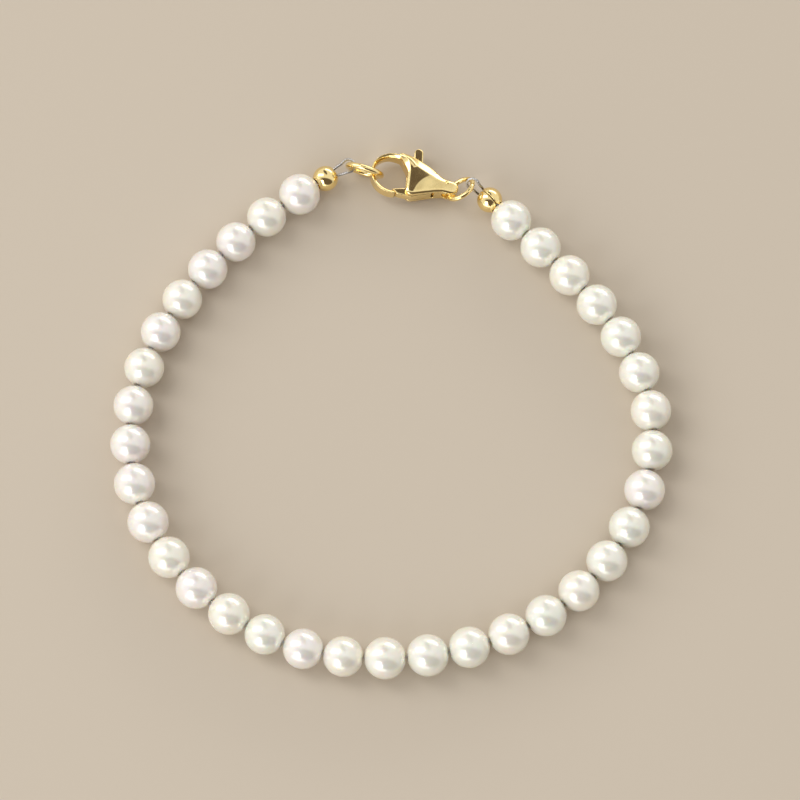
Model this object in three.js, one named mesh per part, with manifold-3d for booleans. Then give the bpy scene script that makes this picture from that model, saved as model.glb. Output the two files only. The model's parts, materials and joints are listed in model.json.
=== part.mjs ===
// A pearl bracelet lying closed on a flat surface, in millimetres, +Z up.
// Thirty-four drilled pearls are strung on one beading wire. At each end the wire loops round a gold ring
// and comes back through a crimp tube, which a round crimp cover hides. A lobster clasp joins the two rings:
// its hook passes through the left one, and the right one hangs in a hole across its tail.
// The origin is the middle of the bracelet's outline, on the surface that it lies on.
import * as THREE from "three";
import { mergeVertices } from "three/addons/utils/BufferGeometryUtils.js";
import Module from "manifold-3d";

const wasm = await Module();
wasm.setup();

// Pearls: near-round, graded in runs along the string. Sizes are shares of the nominal diameter.
const PEARL_DIAMETER = 4.5;
const PEARL_BORE = 0.8;
const PEARL_SPACING = 0.13;
const PEARL_RUNS = [
  { count: 1, size: 1.02 },
  { count: 8, size: 0.98 },
  { count: 5, size: 1.01 },
  { count: 3, size: 0.98 },
  { count: 2, size: 1.02 },
  { count: 15, size: 1.0 },
];
const PEARL_SIDES = 14;
const PEARL_BANDS = 8;

// Beading wire, and the loop that it makes round a ring at each end.
const WIRE_DIAMETER = 0.3;
const WIRE_SIDES = 6;
const STRAND_GAP = 0.1;
const LOOP_PLAY = 0.25;

// Crimp tubes and the covers closed round them.
const CRIMP_LENGTH = 1.7;
const CRIMP_WALL = 0.15;
const CRIMP_PLAY = 0.1;
const COVER_DIAMETER = 2.9;
const COVER_WALL = 0.25;
const COVER_MOUTH = 1.4;
const COVER_HEIGHT = 2.0;
const SEAM_NARROW = 0.05;
const SEAM_WIDE = 0.17;

// Gold rings. The hook's ring stands on its edge and leans, and the tail's ring rises out of the tail's hole.
const HOOK_RING_DIAMETER = 4.6;
const HOOK_RING_WIRE = 0.7;
const HOOK_RING_LEAN = 9;
const HOOK_RING_ANGLE = -17;
const HOOK_RING_TURN = 188;
const TAIL_RING_DIAMETER = 3.75;
const TAIL_RING_WIRE = 0.54;
const TAIL_RING_TURN = 45;
const TAIL_RING_SKEW = 20;
const RING_SIDES = 20;

// Lobster clasp. Its own frame has +X from the hook to the tail, +Y towards the thumb tab and +Z through
// its thickness, with the origin in the middle of the hook's opening.
const CLASP_LENGTH = 10.5;
const CLASP_HEIGHT = 5.0;
const CLASP_THICKNESS = 2.6;
const CLASP_ANGLE = -12;
const CLASP_LEAN = 5;
const HOOK_LENGTH = 5.4;
const HOOK_WIRE = 0.95;
const HOOK_DROP = 0.2;
const HOOK_TIP_DROP = 0.3;
const EDGE_BEVEL = 0.28;
const SHOULDER_BEVEL = 0.95;
const BEVEL_DEPTH = 0.45;
const TAIL_WIDTH = 1.55;
const TAIL_HOLE = 1.6;
const TAIL_WALL = 0.18;
const CHEEK = 0.6;
const LEVER_PLAY = 0.1;
const GATE_HEIGHT = 0.5;
const GATE_GAP = 0.08;
const RIVET_DIAMETER = 0.6;
const RIVET_PLAY = 0.08;
const METAL_GAP = 0.05;

// The hook's wire from its root to its tip: the turn round the opening in degrees, the wire's width as a
// share of HOOK_WIRE, and its depth as a share of CLASP_THICKNESS. Its crest lies outwards of its middle.
const HOOK_SECTIONS = [
  { turn: 30, width: 1.5, depth: 0.9 },
  { turn: 52, width: 1.46, depth: 0.97 },
  { turn: 70, width: 1.16, depth: 0.92 },
  { turn: 92, width: 1.04, depth: 0.84 },
  { turn: 130, width: 1.0, depth: 0.72 },
  { turn: 180, width: 1.0, depth: 0.66 },
  { turn: 225, width: 0.98, depth: 0.64 },
  { turn: 262, width: 0.82, depth: 0.6 },
  { turn: 312, width: 0.6, depth: 0.5 },
];
const HOOK_CREST = 0.28;
const HOOK_STEPS = 3;
const HOOK_SIDES = 12;

// The shoulder, from the hook's root down to the tail: shares of the tail's end, of the body's top, and of
// SHOULDER_BEVEL.
const SHOULDER = [
  { along: 0.15, up: 1.0, bevel: 0.5 },
  { along: 0.28, up: 0.93, bevel: 0.8 },
  { along: 0.42, up: 0.81, bevel: 1.0 },
  { along: 0.5, up: 0.71, bevel: 1.0 },
  { along: 0.58, up: 0.585, bevel: 0.95 },
  { along: 0.675, up: 0.38, bevel: 0.75 },
  { along: 0.75, up: 0.235, bevel: 0.5 },
  { along: 0.85, up: 0.185, bevel: 0.35 },
];

// The string's route from the left cover to the right one, seen from above, round the middle of the loop.
// It is stretched or shrunk to the length that the pearls need.
const ROUTE = [
  [-8.6, 26.3],
  [-15.3, 21.6],
  [-22.0, 15.3],
  [-27.3, 7.6],
  [-30.1, -1.1],
  [-29.6, -10.2],
  [-25.5, -18.4],
  [-18.7, -24.7],
  [-10.5, -28.5],
  [-1.7, -29.5],
  [7.5, -28.3],
  [16.0, -24.8],
  [22.7, -18.9],
  [27.2, -10.9],
  [28.3, -1.6],
  [25.1, 7.3],
  [19.5, 14.5],
  [12.8, 21.2],
  [10.3, 23.8],
];
// Where the clasp's opening lies on the same plan, and how each wire loop leaves its ring: the distance from
// the ring's wire to the middle of the cover, the direction in degrees, and the turn of the cover's seam.
const CLASP_PLACE = [-0.95, 26.7];
const LEFT_LOOP = { reach: 3.0, heading: 209, seam: 190 };
const RIGHT_LOOP = { reach: 2.8, heading: -38, seam: 0, alongRing: 24 };

const degrees = THREE.MathUtils.degToRad;
const vector = (x, y, z = 0) => new THREE.Vector3(x, y, z);
const heading = (angle) => vector(Math.cos(degrees(angle)), Math.sin(degrees(angle)));

// Materials.
const pearlLustre = new THREE.MeshStandardMaterial({ name: "pearl", color: 0xf3ece0, roughness: 0.28, metalness: 0 });
const gold = new THREE.MeshStandardMaterial({ name: "gold", color: 0xf0c35a, roughness: 0.14, metalness: 1 });
const steelWire = new THREE.MeshStandardMaterial({ name: "wire", color: 0x8f9196, roughness: 0.4, metalness: 0.8 });

// Turns a closed geometry into a solid that can be joined and cut, and back.
function toSolid(geometry) {
  const bare = geometry.clone();
  bare.deleteAttribute("normal");
  bare.deleteAttribute("uv");
  const merged = mergeVertices(bare, 1e-4);
  const mesh = new wasm.Mesh({
    numProp: 3,
    vertProperties: new Float32Array(merged.attributes.position.array),
    triVerts: new Uint32Array(merged.index.array),
  });
  return new wasm.Manifold(mesh);
}

function toGeometry(solid) {
  const mesh = solid.getMesh();
  const geometry = new THREE.BufferGeometry();
  geometry.setAttribute("position", new THREE.BufferAttribute(new Float32Array(mesh.vertProperties), 3));
  geometry.setIndex(new THREE.BufferAttribute(new Uint32Array(mesh.triVerts), 1));
  geometry.computeVertexNormals();
  return geometry;
}

// An outline in the clasp's plane, made solid to a thickness, with its middle at Z = 0.
function plate(shape, thickness, round, curveSegments = 6) {
  const geometry = new THREE.ExtrudeGeometry(shape, {
    depth: thickness - 2 * round,
    bevelEnabled: round > 0,
    bevelThickness: round,
    bevelSize: round,
    bevelOffset: -round,
    bevelSegments: 2,
    curveSegments,
  });
  return geometry.translate(0, 0, round - thickness / 2);
}

// A closed body through rings of points, which all have the same number of points. The end faces are a fan
// unless their triangles are given.
function loft(rings, ends) {
  const sides = rings[0].length;
  const positions = rings.flat().flatMap((point) => point.toArray());
  const faces = [];
  for (let ring = 0; ring + 1 < rings.length; ring++) {
    for (let side = 0; side < sides; side++) {
      const a = ring * sides + side;
      const b = ring * sides + ((side + 1) % sides);
      faces.push(a, b, a + sides, b, b + sides, a + sides);
    }
  }
  const last = (rings.length - 1) * sides;
  const fan = Array.from({ length: sides - 2 }, (_, side) => [0, side + 1, side + 2]);
  (ends ?? fan).forEach(([a, b, c]) => faces.push(a, c, b, last + a, last + b, last + c));
  const geometry = new THREE.BufferGeometry();
  geometry.setAttribute("position", new THREE.Float32BufferAttribute(positions, 3));
  geometry.setIndex(faces);
  geometry.computeVertexNormals();
  return geometry;
}

function pearl(diameter) {
  const radius = diameter / 2;
  const boreEdge = Math.asin(PEARL_BORE / 2 / radius);
  const profile = [];
  for (let band = 0; band <= PEARL_BANDS; band++) {
    const angle = boreEdge + ((Math.PI - 2 * boreEdge) * band) / PEARL_BANDS;
    profile.push(new THREE.Vector2(radius * Math.sin(angle), -radius * Math.cos(angle)));
  }
  profile.push(profile[0].clone());
  return new THREE.LatheGeometry(profile, PEARL_SIDES);
}

// The crimp tube, round the two strands of wire that lie side by side in it. Its axis is Y.
const STRAND_OFFSET = (WIRE_DIAMETER + STRAND_GAP) / 2;
const CRIMP_BORE = 2 * (STRAND_OFFSET + WIRE_DIAMETER / 2 + CRIMP_PLAY);
function crimpTube() {
  const inner = CRIMP_BORE / 2;
  const outer = inner + CRIMP_WALL;
  const half = CRIMP_LENGTH / 2;
  const corners = [[inner, -half], [outer, -half], [outer, half], [inner, half], [inner, -half]];
  return new THREE.LatheGeometry(corners.map(([x, y]) => new THREE.Vector2(x, y)), 12);
}

// The crimp cover: a hollow ball, open at both ends of its axis Y, with the seam where it was closed on its
// +Z side. The seam widens from the ring's end, +Y, to the pearl's end.
function crimpCover() {
  const outer = COVER_DIAMETER / 2;
  const inner = outer - COVER_WALL;
  const mouth = COVER_MOUTH / 2;
  const bands = 7;
  const arc = (radius, from, to) => {
    const points = [];
    for (let band = 0; band <= bands; band++) {
      const angle = from + ((to - from) * band) / bands;
      points.push(new THREE.Vector2(radius * Math.sin(angle), -radius * Math.cos(angle)));
    }
    return points;
  };
  const outerEdge = Math.asin(mouth / outer);
  const innerEdge = Math.asin(mouth / inner);
  const profile = [...arc(outer, outerEdge, Math.PI - outerEdge), ...arc(inner, Math.PI - innerEdge, innerEdge)];
  profile.push(profile[0].clone());
  const shell = new THREE.LatheGeometry(profile, 16);
  const seam = new THREE.Shape();
  seam.moveTo(-SEAM_WIDE / 2, -outer);
  seam.lineTo(SEAM_WIDE / 2, -outer);
  seam.lineTo(SEAM_NARROW / 2, outer);
  seam.lineTo(-SEAM_NARROW / 2, outer);
  seam.closePath();
  const cutter = new THREE.ExtrudeGeometry(seam, { depth: outer, bevelEnabled: false });
  return toGeometry(toSolid(shell).subtract(toSolid(cutter)));
}

function ring(diameter, wire) {
  return new THREE.TorusGeometry((diameter - wire) / 2, wire / 2, 6, RING_SIDES);
}

// The clasp's main points, in its own frame.
const OPENING_LENGTH = HOOK_LENGTH - 2 * HOOK_WIRE;
const OPENING_HEIGHT = CLASP_HEIGHT - 2 * HOOK_WIRE;
const BODY_TOP = CLASP_HEIGHT / 2;
const TAIL_END = CLASP_LENGTH - HOOK_LENGTH / 2;
const TAIL_MIDDLE = -0.065 * CLASP_HEIGHT;
const HOLE_AT = TAIL_END - TAIL_WALL - TAIL_HOLE / 2;
const CHANNEL_END = 0.66 * TAIL_END;
const BODY_FRONT = OPENING_LENGTH / 2;
const GATE_INSIDE = -OPENING_HEIGHT / 2 - HOOK_TIP_DROP;
const GATE_OUTSIDE = GATE_INSIDE - GATE_HEIGHT;
const GATE_ROOT = -OPENING_HEIGHT / 2 + METAL_GAP;
const BODY_BOTTOM = GATE_OUTSIDE + METAL_GAP / 2;
const BODY_HEEL = 1.5 * BODY_FRONT;
const PIVOT = vector(0.4 * TAIL_END, 0.04 * CLASP_HEIGHT);
const TAB_TOP = 0.735 * CLASP_HEIGHT;
const TAB_WIDTH = 0.95;
const TAB_LEAN = 0.16;
const ROOT_TURN = 48;
const RIVET_LENGTH = CLASP_THICKNESS - 0.7 * CHEEK;

// The point of the hook's opening at a turn, and the direction out of the opening there. Below, the opening
// drops towards the hook's tip.
function openingPoint(turn) {
  const angle = degrees(turn);
  const point = vector((OPENING_LENGTH / 2) * Math.cos(angle), (OPENING_HEIGHT / 2) * Math.sin(angle));
  point.y -= point.y < 0 ? HOOK_TIP_DROP * (1 + Math.cos(angle)) : 0;
  const out = vector((OPENING_HEIGHT / 2) * Math.cos(angle), (OPENING_LENGTH / 2) * Math.sin(angle)).normalize();
  return { point, out };
}

function hook() {
  const rings = [];
  for (let row = 0; row + 1 < HOOK_SECTIONS.length; row++) {
    const from = HOOK_SECTIONS[row];
    const to = HOOK_SECTIONS[row + 1];
    const isLast = row + 2 === HOOK_SECTIONS.length;
    for (let step = 0; step < HOOK_STEPS + (isLast ? 1 : 0); step++) {
      const share = step / HOOK_STEPS;
      const between = (key) => THREE.MathUtils.lerp(from[key], to[key], share);
      const { point, out } = openingPoint(between("turn"));
      const halfWidth = (between("width") * HOOK_WIRE) / 2;
      const halfDepth = (between("depth") * CLASP_THICKNESS) / 2;
      const middle = point.addScaledVector(out, halfWidth);
      const section = [];
      for (let side = 0; side < HOOK_SIDES; side++) {
        const angle = (2 * Math.PI * (side + 0.5)) / HOOK_SIDES;
        const deep = Math.sign(Math.sin(angle)) * Math.abs(Math.sin(angle)) ** 0.75;
        const across = Math.sign(Math.cos(angle)) * Math.abs(Math.cos(angle)) ** 0.75 + HOOK_CREST * deep ** 2;
        section.push(middle.clone().addScaledVector(out, halfWidth * across).setZ(halfDepth * deep));
      }
      rings.push(section);
    }
  }
  return loft(rings);
}

// The body's outline, counter-clockwise: the opening's edge, the foot, the tail and the shoulder, with the
// width that the edge is bevelled back to at each point.
function bodyOutline() {
  const tailBottom = TAIL_MIDDLE - TAIL_WIDTH / 2;
  const outline = [];
  const put = (x, y, bevel = EDGE_BEVEL) => outline.push({ point: new THREE.Vector2(x, y), bevel });
  for (let turn = ROOT_TURN; turn >= 0; turn -= ROOT_TURN / 4) {
    const { point } = openingPoint(turn);
    put(point.x, point.y, turn === ROOT_TURN ? 1.4 * EDGE_BEVEL : EDGE_BEVEL);
  }
  put(1.04 * BODY_FRONT, -0.5 * OPENING_HEIGHT / 2);
  const foot = new THREE.QuadraticBezierCurve(
    new THREE.Vector2(1.08 * BODY_FRONT, 0.8 * BODY_BOTTOM),
    new THREE.Vector2(1.12 * BODY_FRONT, BODY_BOTTOM),
    new THREE.Vector2(BODY_HEEL, BODY_BOTTOM),
  );
  foot.getPoints(4).forEach(({ x, y }) => put(x, y));
  put(CHANNEL_END, THREE.MathUtils.lerp(tailBottom, BODY_BOTTOM, 0.2));
  put(HOLE_AT - TAIL_HOLE / 2, tailBottom);
  for (let angle = -90; angle <= 90; angle += 22.5) {
    const radius = TAIL_WIDTH / 2;
    put(TAIL_END - radius + radius * Math.cos(degrees(angle)), TAIL_MIDDLE + radius * Math.sin(degrees(angle)));
  }
  const shoulder = new THREE.SplineCurve(
    SHOULDER.map(({ along, up }) => new THREE.Vector2(along * TAIL_END, up * BODY_TOP)),
  );
  for (let step = 2 * (SHOULDER.length - 1); step >= 0; step--) {
    const share = step / (2 * (SHOULDER.length - 1));
    const row = Math.min(Math.floor(step / 2), SHOULDER.length - 2);
    const bevel = THREE.MathUtils.lerp(SHOULDER[row].bevel, SHOULDER[row + 1].bevel, step / 2 - row);
    const { x, y } = shoulder.getPoint(share);
    put(x, y, bevel * SHOULDER_BEVEL);
  }
  put(0.3 * BODY_FRONT, BODY_TOP, 0.45 * SHOULDER_BEVEL);
  return outline;
}

// The body's block: its outline at the rims, drawn in by the bevel's width at both faces.
function block() {
  const outline = bodyOutline();
  const count = outline.length;
  const face = outline.map(({ point, bevel }, index) => {
    const before = outline[(index + count - 1) % count].point;
    const after = outline[(index + 1) % count].point;
    const back = point.clone().sub(before).normalize();
    const on = after.clone().sub(point).normalize();
    const inward = new THREE.Vector2(-back.y - on.y, back.x + on.x).normalize();
    const stretch = Math.min(1 / Math.abs(inward.cross(on)), 1.3);
    return point.clone().addScaledVector(inward, bevel * stretch);
  });
  const rims = outline.map(({ bevel }) => CLASP_THICKNESS / 2 - BEVEL_DEPTH * bevel);
  const rings = [
    face.map(({ x, y }) => vector(x, y, -CLASP_THICKNESS / 2)),
    outline.map(({ point }, index) => vector(point.x, point.y, -rims[index])),
    outline.map(({ point }, index) => vector(point.x, point.y, rims[index])),
    face.map(({ x, y }) => vector(x, y, CLASP_THICKNESS / 2)),
  ];
  return loft(rings, THREE.ShapeUtils.triangulateShape(face, []));
}

// The channel between the cheeks, open below and in front, and open above where the thumb tab swings.
function channelShape() {
  const beyond = CLASP_HEIGHT;
  const slotStart = 1.04 * BODY_FRONT;
  const slotEnd = 0.6 * TAIL_END;
  const front = 0.9 * BODY_FRONT;
  const shape = new THREE.Shape();
  shape.moveTo(front, -beyond);
  shape.lineTo(CHANNEL_END, -beyond);
  shape.lineTo(CHANNEL_END, 0);
  shape.lineTo(slotEnd, 0.4 * BODY_TOP);
  shape.lineTo(slotEnd, beyond);
  shape.lineTo(slotStart, beyond);
  shape.lineTo(slotStart, 0.3 * BODY_TOP);
  shape.lineTo(front, -0.2 * BODY_TOP);
  shape.closePath();
  return shape;
}

// The line where the gate meets the hook's tip, slanting so that the gate opens inwards only.
const TIP_INSIDE = vector(0.16 * BODY_FRONT, GATE_INSIDE);
const TIP_SLOPE = 1.3;
const tipAt = (y) => TIP_INSIDE.x + TIP_SLOPE * (TIP_INSIDE.y - y);

// What the hook's tip is cut back from: the gate's side of the slanting line, up to the body.
function tipCutShape() {
  const above = GATE_INSIDE + GATE_HEIGHT;
  const below = GATE_OUTSIDE - GATE_HEIGHT;
  const shape = new THREE.Shape();
  shape.moveTo(tipAt(below), below);
  shape.lineTo(2 * BODY_FRONT, below);
  shape.lineTo(2 * BODY_FRONT, above);
  shape.lineTo(tipAt(above), above);
  shape.closePath();
  return shape;
}

function pin(diameter, length) {
  return new THREE.CylinderGeometry(diameter / 2, diameter / 2, length, 12).rotateX(Math.PI / 2);
}

function claspBody() {
  const channelWidth = CLASP_THICKNESS - 2 * CHEEK;
  const hookArm = toSolid(hook()).subtract(toSolid(plate(tipCutShape(), 2 * CLASP_THICKNESS, 0)));
  const channel = toSolid(plate(channelShape(), channelWidth, 0));
  const rivetHole = pin(RIVET_DIAMETER + 2 * RIVET_PLAY, RIVET_LENGTH + 2 * RIVET_PLAY);
  const tailHole = new THREE.CylinderGeometry(TAIL_HOLE / 2, TAIL_HOLE / 2, CLASP_HEIGHT, 14);
  return toGeometry(
    toSolid(block())
      .add(hookArm)
      .subtract(channel)
      .subtract(toSolid(rivetHole.translate(PIVOT.x, PIVOT.y, 0)))
      .subtract(toSolid(tailHole.translate(HOLE_AT, TAIL_MIDDLE, 0))),
  );
}

// The lever: a gate that closes the hook, a boss on the rivet, and a thumb tab that stands out above.
function leverShape() {
  const boss = 0.36 * PIVOT.x;
  const rearX = CHANNEL_END - 2 * LEVER_PLAY;
  const tailBottom = TAIL_MIDDLE - TAIL_WIDTH / 2;
  const rearY = THREE.MathUtils.lerp(tailBottom, BODY_BOTTOM, 0.24);
  const half = TAB_WIDTH / 2;
  const tabX = (y) => PIVOT.x - 0.1 * PIVOT.x - TAB_LEAN * (y - BODY_TOP / 2);
  const neckY = PIVOT.y + 1.3 * boss;
  const shape = new THREE.Shape();
  shape.moveTo(tipAt(GATE_INSIDE) + GATE_GAP, GATE_INSIDE);
  shape.lineTo(tipAt(GATE_OUTSIDE) + GATE_GAP, GATE_OUTSIDE);
  shape.lineTo(BODY_HEEL, GATE_OUTSIDE);
  shape.lineTo(rearX - GATE_HEIGHT / 2, THREE.MathUtils.lerp(rearY, GATE_OUTSIDE, 0.12));
  shape.quadraticCurveTo(rearX, rearY, rearX, rearY + 0.7 * GATE_HEIGHT);
  shape.lineTo(PIVOT.x + boss, PIVOT.y - 0.3 * boss);
  shape.quadraticCurveTo(PIVOT.x + boss, neckY, tabX(neckY) + half, neckY);
  shape.lineTo(tabX(TAB_TOP - half) + half, TAB_TOP - half);
  shape.absarc(tabX(TAB_TOP - half), TAB_TOP - half, half, 0, Math.PI, false);
  shape.lineTo(tabX(neckY) - half, neckY);
  shape.quadraticCurveTo(PIVOT.x - boss, PIVOT.y + boss, PIVOT.x - boss, PIVOT.y);
  shape.lineTo(1.12 * BODY_FRONT, GATE_ROOT + GATE_HEIGHT / 2);
  shape.quadraticCurveTo(1.1 * BODY_FRONT, GATE_ROOT, 0.9 * BODY_FRONT, GATE_ROOT);
  shape.closePath();
  const hole = new THREE.Path();
  hole.absarc(PIVOT.x, PIVOT.y, RIVET_DIAMETER / 2 + RIVET_PLAY, 0, 2 * Math.PI, true);
  shape.holes.push(hole);
  return shape;
}

// Places the clasp: its hook hangs in the standing ring, and its tail rests on the surface.
function placeClasp(clasp) {
  const lean = degrees(CLASP_LEAN);
  const hookAt = hookMiddle();
  const hookHeight = hookRingHeight() - HOOK_DROP;
  const tailHeight = (CLASP_THICKNESS / 2) * Math.cos(lean) + (TAIL_MIDDLE + TAIL_WIDTH / 2) * Math.sin(lean);
  const fall = (hookHeight - tailHeight) / (TAIL_END - hookAt.x);
  const pitch = Math.asin(fall);
  clasp.rotation.set(-lean, pitch, degrees(CLASP_ANGLE), "ZYX");
  clasp.position.set(CLASP_PLACE[0], CLASP_PLACE[1], tailHeight + fall * TAIL_END + METAL_GAP);
  clasp.updateMatrixWorld(true);
}

// The middle of the hook's wire where the ring hangs, in the clasp's frame.
function hookMiddle() {
  const { point, out } = openingPoint(HOOK_RING_TURN);
  return point.addScaledVector(out, HOOK_WIRE / 2);
}

function hookRingHeight() {
  const middleRadius = (HOOK_RING_DIAMETER - HOOK_RING_WIRE) / 2;
  return middleRadius * Math.cos(degrees(HOOK_RING_LEAN)) + HOOK_RING_WIRE / 2;
}

// Stands the hook's ring round the hook's far side, pulled towards the string until the hook's wire bears
// on it inside. Returns its frame: the middle, the direction to the clasp, and the ring's axis.
function hookRingFrame(clasp) {
  const hookDepth = 0.66 * CLASP_THICKNESS;
  const corner = 0.3 * hookDepth;
  const inside = HOOK_RING_DIAMETER / 2 - HOOK_RING_WIRE - METAL_GAP - corner;
  const rise = hookDepth / 2 - corner + HOOK_DROP;
  const offset = Math.sqrt(inside ** 2 - rise ** 2) - (HOOK_WIRE / 2 - corner);
  const along = heading(HOOK_RING_ANGLE);
  const middle = clasp.localToWorld(hookMiddle()).addScaledVector(along, -offset);
  middle.z = hookRingHeight();
  const lean = degrees(HOOK_RING_LEAN);
  const up = vector(-along.y, along.x).multiplyScalar(-Math.sin(lean)).setZ(Math.cos(lean));
  return { middle, along, axis: along.clone().cross(up), radius: (HOOK_RING_DIAMETER - HOOK_RING_WIRE) / 2 };
}

// Hangs the tail's ring in the tail's hole: turned up about the hole, then skewed in the hole's slack.
function tailRingFrame(clasp) {
  const radius = (TAIL_RING_DIAMETER - TAIL_RING_WIRE) / 2;
  const slack = 0.12 * (TAIL_HOLE / 2 - TAIL_RING_WIRE / 2);
  const turn = degrees(TAIL_RING_TURN);
  const skew = degrees(TAIL_RING_SKEW);
  const outward = vector(Math.cos(turn), 0, Math.sin(turn));
  const across = vector(0, 1, 0);
  const normal = outward.clone().cross(across);
  const axis = normal.multiplyScalar(Math.cos(skew)).addScaledVector(across, Math.sin(skew));
  const middle = vector(HOLE_AT, TAIL_MIDDLE).addScaledVector(outward, slack + radius);
  return {
    middle: clasp.localToWorld(middle),
    along: outward.transformDirection(clasp.matrixWorld),
    axis: axis.transformDirection(clasp.matrixWorld),
    radius,
  };
}

// The wire of a ring, at an angle from its along direction: the point, and the wire's direction there.
function ringPoint(frame, angle) {
  const side = frame.axis.clone().cross(frame.along);
  const turned = frame.along.clone().multiplyScalar(Math.cos(degrees(angle)));
  turned.addScaledVector(side, Math.sin(degrees(angle)));
  return {
    point: frame.middle.clone().addScaledVector(turned, frame.radius),
    wireWay: frame.axis.clone().cross(turned).normalize(),
  };
}

// The string's route between the two covers, scaled until it is as long as the string.
function stringRoute(from, to, length) {
  let scale = 1;
  let route = null;
  for (let round = 0; round < 25; round++) {
    const plan = ROUTE.map(([x, y]) => vector(x * scale, y * scale));
    const slipFrom = vector(from.x, from.y).sub(plan[0]);
    const slipTo = vector(to.x, to.y).sub(plan.at(-1));
    plan.forEach((point, index) => {
      const share = index / (plan.length - 1);
      point.addScaledVector(slipFrom, 1 - share).addScaledVector(slipTo, share);
    });
    route = new THREE.CatmullRomCurve3(plan, false, "centripetal");
    route.arcLengthDivisions = 600;
    scale *= length / route.getLength();
  }
  return route;
}

// The wire's path has its stations at its own points, close together in the loops and far apart in the pearls.
class StationPath extends THREE.CatmullRomCurve3 {
  getPointAt(share, target) {
    return this.getPoint(share, target);
  }

  getTangentAt(share, target) {
    return this.getTangent(share, target);
  }
}

// One end of the wire, from its cut end out of the crimp, round the ring's wire, and back into the crimp.
function loopPoints(cover, out, hold, ringWire) {
  const reach = vector().subVectors(hold.point, cover);
  const distance = reach.length();
  const away = reach.normalize();
  const side = away.clone().cross(hold.wireWay).normalize();
  const coverSide = side.clone().addScaledVector(out, -side.dot(out)).normalize();
  const clear = (ringWire + WIRE_DIAMETER) / 2 + LOOP_PLAY;
  const mouth = COVER_DIAMETER / 2;
  const inCover = (along, across) =>
    cover.clone().addScaledVector(out, along).addScaledVector(coverSide, across);
  const strand = (sign) => [
    inCover(-CRIMP_LENGTH / 2 - STRAND_GAP, sign * STRAND_OFFSET),
    inCover(CRIMP_LENGTH / 2, sign * STRAND_OFFSET),
    inCover(0.9 * mouth, sign * (COVER_MOUTH / 2 - WIRE_DIAMETER)),
    cover.clone().addScaledVector(away, 0.55 * (distance + mouth)).addScaledVector(side, sign * 0.8 * clear),
  ];
  const bend = [-90, -45, 0, 45, 90].map((angle) =>
    hold.point
      .clone()
      .addScaledVector(away, clear * Math.cos(degrees(angle)))
      .addScaledVector(side, clear * Math.sin(degrees(angle))),
  );
  return [...strand(-1), ...bend, ...strand(1).reverse()];
}

function wire(points) {
  const section = new THREE.Shape();
  for (let side = 0; side < WIRE_SIDES; side++) {
    const angle = (2 * Math.PI * side) / WIRE_SIDES;
    const corner = [(WIRE_DIAMETER / 2) * Math.cos(angle), (WIRE_DIAMETER / 2) * Math.sin(angle)];
    side === 0 ? section.moveTo(...corner) : section.lineTo(...corner);
  }
  section.closePath();
  const path = new StationPath(points, false, "centripetal");
  return new THREE.ExtrudeGeometry(section, {
    steps: 2 * (points.length - 1),
    extrudePath: path,
    bevelEnabled: false,
  });
}

function addMesh(group, name, geometry, material) {
  const mesh = new THREE.Mesh(geometry, material);
  mesh.name = name;
  group.add(mesh);
  return mesh;
}

// Stands a mesh so that its Y axis points along a direction and its Z axis up, turned about Y.
function aim(mesh, point, along, turn = 0) {
  const across = along.clone().cross(vector(0, 0, 1)).normalize();
  const up = across.clone().cross(along);
  mesh.matrixAutoUpdate = false;
  mesh.matrix.makeBasis(across, along, up);
  mesh.matrix.multiply(new THREE.Matrix4().makeRotationY(degrees(turn)));
  mesh.matrix.setPosition(point);
}

// Lays a ring in its frame.
function layRing(mesh, frame) {
  mesh.matrixAutoUpdate = false;
  mesh.matrix.makeBasis(frame.along, frame.axis.clone().cross(frame.along), frame.axis);
  mesh.matrix.setPosition(frame.middle);
}

const bracelet = new THREE.Group();

const clasp = new THREE.Group();
bracelet.add(clasp);
addMesh(clasp, "clasp_body", claspBody(), gold);
addMesh(clasp, "clasp_lever", plate(leverShape(), CLASP_THICKNESS - 2 * CHEEK - 2 * LEVER_PLAY, 0.5 * LEVER_PLAY), gold);
const rivet = addMesh(clasp, "lever_rivet", pin(RIVET_DIAMETER, RIVET_LENGTH), gold);
rivet.position.copy(PIVOT);
placeClasp(clasp);

const hookRing = hookRingFrame(clasp);
const tailRing = tailRingFrame(clasp);
layRing(addMesh(bracelet, "hook_ring", ring(HOOK_RING_DIAMETER, HOOK_RING_WIRE), gold), hookRing);
layRing(addMesh(bracelet, "tail_ring", ring(TAIL_RING_DIAMETER, TAIL_RING_WIRE), gold), tailRing);

// Where each wire loop holds its ring, and where its cover lies.
const leftHold = ringPoint(hookRing, 180);
const rightHold = ringPoint(tailRing, RIGHT_LOOP.alongRing);
const coverPlace = (hold, loop) => {
  const drop = hold.point.z - COVER_HEIGHT;
  const level = Math.sqrt(Math.max(loop.reach ** 2 - drop ** 2, 0));
  return hold.point.clone().addScaledVector(heading(loop.heading), level).setZ(COVER_HEIGHT);
};
const leftCover = coverPlace(leftHold, LEFT_LOOP);
const rightCover = coverPlace(rightHold, RIGHT_LOOP);

// The pearls' diameters, and their distances along the string from the left cover.
const diameters = PEARL_RUNS.flatMap((run) => Array(run.count).fill(run.size * PEARL_DIAMETER));
const seat = (diameter) => {
  const across = COVER_MOUTH / 2;
  const ballDistance = Math.sqrt((COVER_DIAMETER / 2) ** 2 - across ** 2) + Math.sqrt((diameter / 2) ** 2 - across ** 2);
  const drop = diameter / 2 - COVER_HEIGHT;
  return Math.sqrt((ballDistance + 2 * METAL_GAP) ** 2 - drop ** 2);
};
const distances = [seat(diameters[0])];
for (let index = 1; index < diameters.length; index++) {
  const spacing = (diameters[index - 1] + diameters[index]) / 2 + PEARL_SPACING;
  distances.push(distances[index - 1] + spacing);
}
const stringLength = distances.at(-1) + seat(diameters.at(-1));
const route = stringRoute(leftCover, rightCover, stringLength);

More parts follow.
